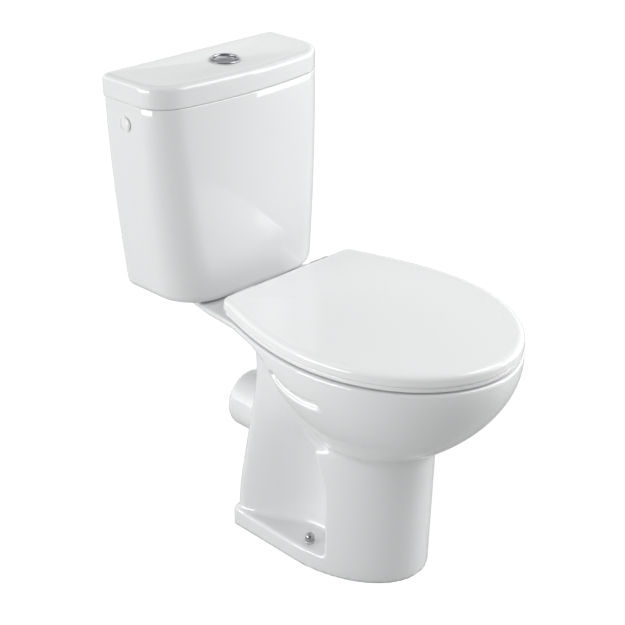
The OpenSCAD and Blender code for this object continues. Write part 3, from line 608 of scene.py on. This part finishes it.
CROWN = (0.985, 0.96, 0.93, 0.89, 0.84, 0.78, 0.7, 0.6, 0.5, 0.38, 0.25, 0.12)
edge_r = 9.0
rows = [level(scaled(lid_row(24), s, CENTRE), LID_Z + LID_H - 9) for s in (0.1, 0.4, 0.7, 1)]
rows += [level(lid_row(d), LID_Z + LID_H - 9 - drop)
         for d, drop in ((16, 1), (11, 4), (9, 9), (9, LID_H - 12))]
rows += [level(lid_row(9), LID_Z + 0.8), level(lid_row(8), LID_Z), level(lid_row(2.2), LID_Z)]
rows += [level(lid_row(0.6), LID_Z + 0.5), level(lid_row(0), LID_Z + 2)]
rows += [level(lid_row(0), LID_Z + z) for z in (5, 10, 16, 22, LID_H - edge_r)]
rows += [level(lid_row(d), LID_Z + LID_H - edge_r + rise * 0.97)
         for d, rise in round_edge(edge_r, 11)[1:]]
rows += [level(scaled(lid_row(edge_r), s, CENTRE), LID_Z + LID_H - 0.25 + 2.65 * dome(s))
         for s in CROWN]
piece(loft("cistern_lid_china", rows), "vitreous_china", "lid", "cistern_lid")


# ---------------------------------------------------------------- button and plugs
ROUND = 96                  # points round each turned shape


def ring_loop(r):
    t = np.linspace(0, 2 * pi, ROUND, endpoint=False)
    return np.stack([r * np.cos(t), r * np.sin(t)], 1)


def closed_band(name, rows):
    """Joins the rows of a loft, and the last one to the first."""
    n, count = len(rows[0]), len(rows)
    faces = []
    for k in range(count):
        faces += band(k * n, (k + 1) % count * n, n)
    return new_object(name, np.concatenate(rows), faces)


profile = [(20, -33), (20, -4), (20.4, -0.2), (BEZEL_R - 0.6, -0.2), (BEZEL_R, 0.3),
           (BEZEL_R - 0.2, 0.9), (25, 1.8), (23.4, 3), (21.6, 3.9), (20.3, 4), (19.4, 3.9),
           (18.9, 3.2), (18.6, 1.5), (18.3, -2), (18.2, -12), (18.2, -33)]
rows = [level(ring_loop(r) + CENTRE, LID_TOP + z) for r, z in profile]
piece(closed_band("bezel_ring", rows), "chrome_plate", "lid", "button_bezel")


def half_disc(sign, d):
    """One button: a disc cut off at the split, with round corners, moved in by d."""
    cut = sign * SPLIT_X + 0.4 + d
    r = BUTTON_R - d
    a = np.arccos(cut / r)
    arc = np.linspace(-a, a, 60)
    p = np.stack([r * np.cos(arc), r * np.sin(arc)], 1)
    edge = np.linspace(p[-1], p[0], 26)[1:-1]
    p = np.concatenate([p, edge])
    for _ in range(3):
        p = (np.roll(p, 1, 0) + 2 * p + np.roll(p, -1, 0)) / 4
    return p * (sign, sign)


def button(name, sign, body_name, node, dish):
    def cap(loop, drop):
        r2 = (loop**2).sum(1) / BUTTON_R**2
        mid = np.array([sign * 9.5, 0])
        bowl = np.clip(1 - ((loop - mid)**2).sum(1) / 49, 0, 1)**2 * dish
        return np.column_stack([loop + CENTRE, LID_TOP + 3.4 - 2.2 * r2 - bowl - drop])

    rows = [level(half_disc(sign, 0.0) + CENTRE, PLATE_Z + 20)]
    rows += [cap(half_disc(sign, 0), 1.3), cap(half_disc(sign, 0.15), 0.7), cap(half_disc(sign, 0.6), 0.25),
             cap(half_disc(sign, 1.3), 0.02)]
    inner = half_disc(sign, 1.3)
    rows += [cap(scaled(inner, q, inner.mean(0)), 0)
             for q in (0.94, 0.86, 0.76, 0.66, 0.55, 0.44, 0.33, 0.22, 0.1)]
    piece(loft(name, rows), "chrome_plate", body_name, node)


button("large_flush_key", -1, "full_button", "full_flush_button", 0.0)
button("small_flush_key", 1, "half_button", "half_flush_button", 2.4)

plug_x = tank_row(PLUG_Z, 0)[:, 0].max()
plug = [(9.9, -18), (9.9, -0.4), (PLUG_R - 0.5, -0.2), (PLUG_R, 0.4), (PLUG_R - 0.1, 1.3),
        (11.6, 1.9), (11.0, 1.8), (10.7, 0.9), (10.4, 0.6), (10.1, 0.9), (9.8, 1.7), (9.2, 2.1),
        (6, 2.2), (2, 2.2)]
pts, faces = [], []
for sign in (-1, 1):
    base = len(pts) * ROUND
    last = base + (len(plug) - 1) * ROUND
    pts += [np.column_stack([np.full(ROUND, sign * (plug_x + out)), ring_loop(r) + (PLUG_Y, PLUG_Z)])
            for r, out in plug]
    skin = []
    for start in range(base, last, ROUND):
        skin += band(start, start + ROUND, ROUND)
    skin += [tuple(range(base + ROUND - 1, base - 1, -1)), tuple(range(last, last + ROUND))]
    faces += skin if sign > 0 else [face[::-1] for face in skin]
piece(new_object("side_plugs_lathed", np.concatenate(pts), faces), "plug_plastic", "suite", "side_hole_plugs")

# ---------------------------------------------------------------- seat
SEAT_CENTRE = np.array([0.0, -60.0])


def seat_row(d, z, back=SEAT_BACK, r=19.0):
    e = min(d, 12.0)
    loop = full_loop(seat_outline(back - e, e, max(r - e, 6)))
    return level(shrink(loop, d - e, SEAT_CENTRE) if d > e else loop, z)


top_z = COVER_Z + COVER_H
shoulder = 9.5
inside = seat_row(22, top_z - 6)[:, :2]
rows = [level(scaled(inside, s, SEAT_CENTRE), top_z - 6) for s in (0.1, 0.4, 0.7, 0.9, 1)]
rows += [seat_row(15, top_z - 8), seat_row(11, top_z - 11), seat_row(10, COVER_Z + 1), seat_row(9, COVER_Z)]
rows += [seat_row(1.5, COVER_Z), seat_row(0.5, COVER_Z + 0.4), seat_row(0, COVER_Z + 1.4)]
rows += [seat_row(0.15 * i, COVER_Z + 1.4 + 2.6 * i) for i in range(1, 4)]
side_top = top_z - 3.2 - shoulder
for a in np.linspace(0, pi / 2, 14):
    rows.append(seat_row(0.45 + shoulder * 1.25 * (1 - cos(a)), side_top + shoulder * sin(a)))
flat_top = rows[-1][:, :2]
rows += [level(scaled(flat_top, s, SEAT_CENTRE), top_z - 3.2 + 3.2 * dome(s)) for s in CROWN]
piece(loft("seat_cover_shell", rows), "seat_plastic", "seat_cover_set", "seat_cover")


def hole_row(d, z, n=90):
    t = np.linspace(0, pi / 2, 90)
    a = [np.stack([(114 - d) * np.sin(t), MID_Y - (160 - d) * np.cos(t)], 1)]
    t = np.linspace(pi / 2, 0.32, 60)[1:]
    a.append(np.stack([(114 - d) * np.sin(t)**0.8, MID_Y + (132 - d) * np.cos(t)], 1))
    a.append(np.array([[0, MID_Y + 134 - d]]))
    return level(full_loop(resample(np.concatenate(a), n, 22)), z)


def ring_row(d, z):
    return level(full_loop(seat_outline(SEAT_BACK - 6 - d, 1.5 + d, max(17 - d, 6))), z)


ring_top = RING_Z + RING_EDGE
rows = [ring_row(2, RING_Z), ring_row(0.6, RING_Z + 0.4), ring_row(0, RING_Z + 1.6),
        ring_row(0, ring_top - 1.6), ring_row(0.6, ring_top - 0.4), ring_row(2, ring_top),
        ring_row(8, ring_top + 0.3)]
rows += [ring_row(d, ring_top + 0.3 + 5.7 * float(smooth((d - 8) / 26)))
         for d in (12, 16, 20, 25, 30, 34)]
inner = [(-16, ring_top + 5.4), (-10, ring_top + 4.4), (-6, ring_top + 3), (-3, ring_top + 0.6),
         (-1, ring_top - 2.5), (0, RING_Z + 4), (-0.6, RING_Z + 1.6), (-3, RING_Z + 0.3),
         (-5, RING_Z)]
rows += [hole_row(d, z) for d, z in inner]
piece(closed_band("seat_ring_shell", rows), "seat_plastic", "seat_ring_set", "seat_ring")

# ---------------------------------------------------------------- camera, floor and light
TARGET = Vector((0.0, 0.05035, 0.3884))
AZIMUTH, ELEVATION, ROLL, DISTANCE, FOCAL = -44.44, 25.87, -0.05, 2.3288, 1457.74
FRAME_PX = 625
cam = bpy.data.cameras.new("camera")
cam.sensor_width = 36.0
cam.lens = FOCAL / FRAME_PX * cam.sensor_width
cam_ob = bpy.data.objects.new("camera", cam)
az, el = radians(AZIMUTH), radians(ELEVATION)
way = Vector((sin(az) * cos(el), -cos(az) * cos(el), sin(el)))
cam_ob.location = TARGET + way * DISTANCE
turn = (-way).to_track_quat("-Z", "Y").to_matrix() @ Matrix.Rotation(radians(ROLL), 3, "Z")
cam_ob.rotation_euler = turn.to_euler()
bpy.context.scene.collection.objects.link(cam_ob)
bpy.context.scene.camera = cam_ob

floor_mesh = bpy.data.meshes.new("floor")
FLOOR = 30.0
floor_mesh.from_pydata([(-FLOOR, -FLOOR, 0), (FLOOR, -FLOOR, 0), (FLOOR, FLOOR, 0), (-FLOOR, FLOOR, 0)],
                       [], [(0, 1, 2, 3)])
floor = bpy.data.objects.new("floor", floor_mesh)
bpy.context.scene.collection.objects.link(floor)
floor_mat = material("pale_floor", (0.50, 0.50, 0.50), rough=0.7, rough_var=0.1,
                     tint=0.01, tint_scale=0.5, spec=0.0)
fn, fl = floor_mat.node_tree.nodes, floor_mat.node_tree.links
path = fn.new("ShaderNodeLightPath")
pale = fn.new("ShaderNodeEmission")
pale.inputs["Strength"].default_value = 1.2
share = fn.new("ShaderNodeMath")
share.operation = "MULTIPLY"
share.inputs[1].default_value = 0.80
mixed = fn.new("ShaderNodeMixShader")
fl.new(path.outputs["Is Camera Ray"], share.inputs[0])
fl.new(share.outputs[0], mixed.inputs[0])
fl.new(fn["Principled BSDF"].outputs[0], mixed.inputs[1])
fl.new(pale.outputs[0], mixed.inputs[2])
fl.new(mixed.outputs[0], fn["Material Output"].inputs["Surface"])
floor_mesh.materials.append(floor_mat)

# Soft studio: bright all round and above, with a darker side at the front left
world = bpy.data.worlds.new("studio")
bpy.context.scene.world = world
world.use_nodes = True
wn, wl = world.node_tree.nodes, world.node_tree.links
coord = wn.new("ShaderNodeTexCoord")
facing = wn.new("ShaderNodeVectorMath")
facing.operation = "DOT_PRODUCT"
facing.inputs[1].default_value = (-0.62, -0.78, -0.05)
wl.new(coord.outputs["Generated"], facing.inputs[0])
turned = wn.new("ShaderNodeMapRange")
turned.inputs["From Min"].default_value = -1
wl.new(facing.outputs["Value"], turned.inputs["Value"])
ramp = wn.new("ShaderNodeValToRGB")
ramp.color_ramp.interpolation = "EASE"
stops = [(0.0, 0.46), (0.25, 0.66), (0.5, 0.95), (0.62, 0.8), (0.82, 0.22), (1.0, 0.1)]
for place, level_here in stops[1:-1]:
    ramp.color_ramp.elements.new(place)
for stop, (place, level_here) in zip(ramp.color_ramp.elements, stops):
    stop.position, stop.color = place, (level_here, level_here, level_here, 1)
wl.new(turned.outputs["Result"], ramp.inputs["Fac"])
split = wn.new("ShaderNodeSeparateXYZ")
wl.new(coord.outputs["Generated"], split.inputs["Vector"])
upper = wn.new("ShaderNodeMapRange")
upper.interpolation_type = "SMOOTHSTEP"
for key, value in (("From Min", 0.12), ("From Max", 0.62), ("To Min", 2.3), ("To Max", 0.85)):
    upper.inputs[key].default_value = value
wl.new(split.outputs["Z"], upper.inputs["Value"])
both = wn.new("ShaderNodeMath")
both.operation = "MULTIPLY"
wl.new(ramp.outputs["Color"], both.inputs[0])
wl.new(upper.outputs["Result"], both.inputs[1])
wl.new(both.outputs[0], wn["Background"].inputs["Strength"])
wn["Background"].inputs["Color"].default_value = (1, 1, 1, 1)


def area(name, place, size, power, aim=(0, 0, 0.4)):
    light = bpy.data.lights.new(name, "AREA")
    light.shape = "RECTANGLE"
    light.size, light.size_y = size
    light.energy = power
    ob = bpy.data.objects.new(name, light)
    ob.location = place
    ob.rotation_euler = (Vector(aim) - Vector(place)).to_track_quat("-Z", "Y").to_euler()
    bpy.context.scene.collection.objects.link(ob)


area("key", (3.2, -1.8, 0.9), (2.4, 1.8), 44)
area("fill", (-3.0, 0.9, 0.6), (2.0, 1.2), 40)
area("top", (0.9, -1.3, 2.0), (1.4, 1.2), 16, (0, -0.1, 0.45))
bpy.context.scene.view_settings.view_transform = "Standard"
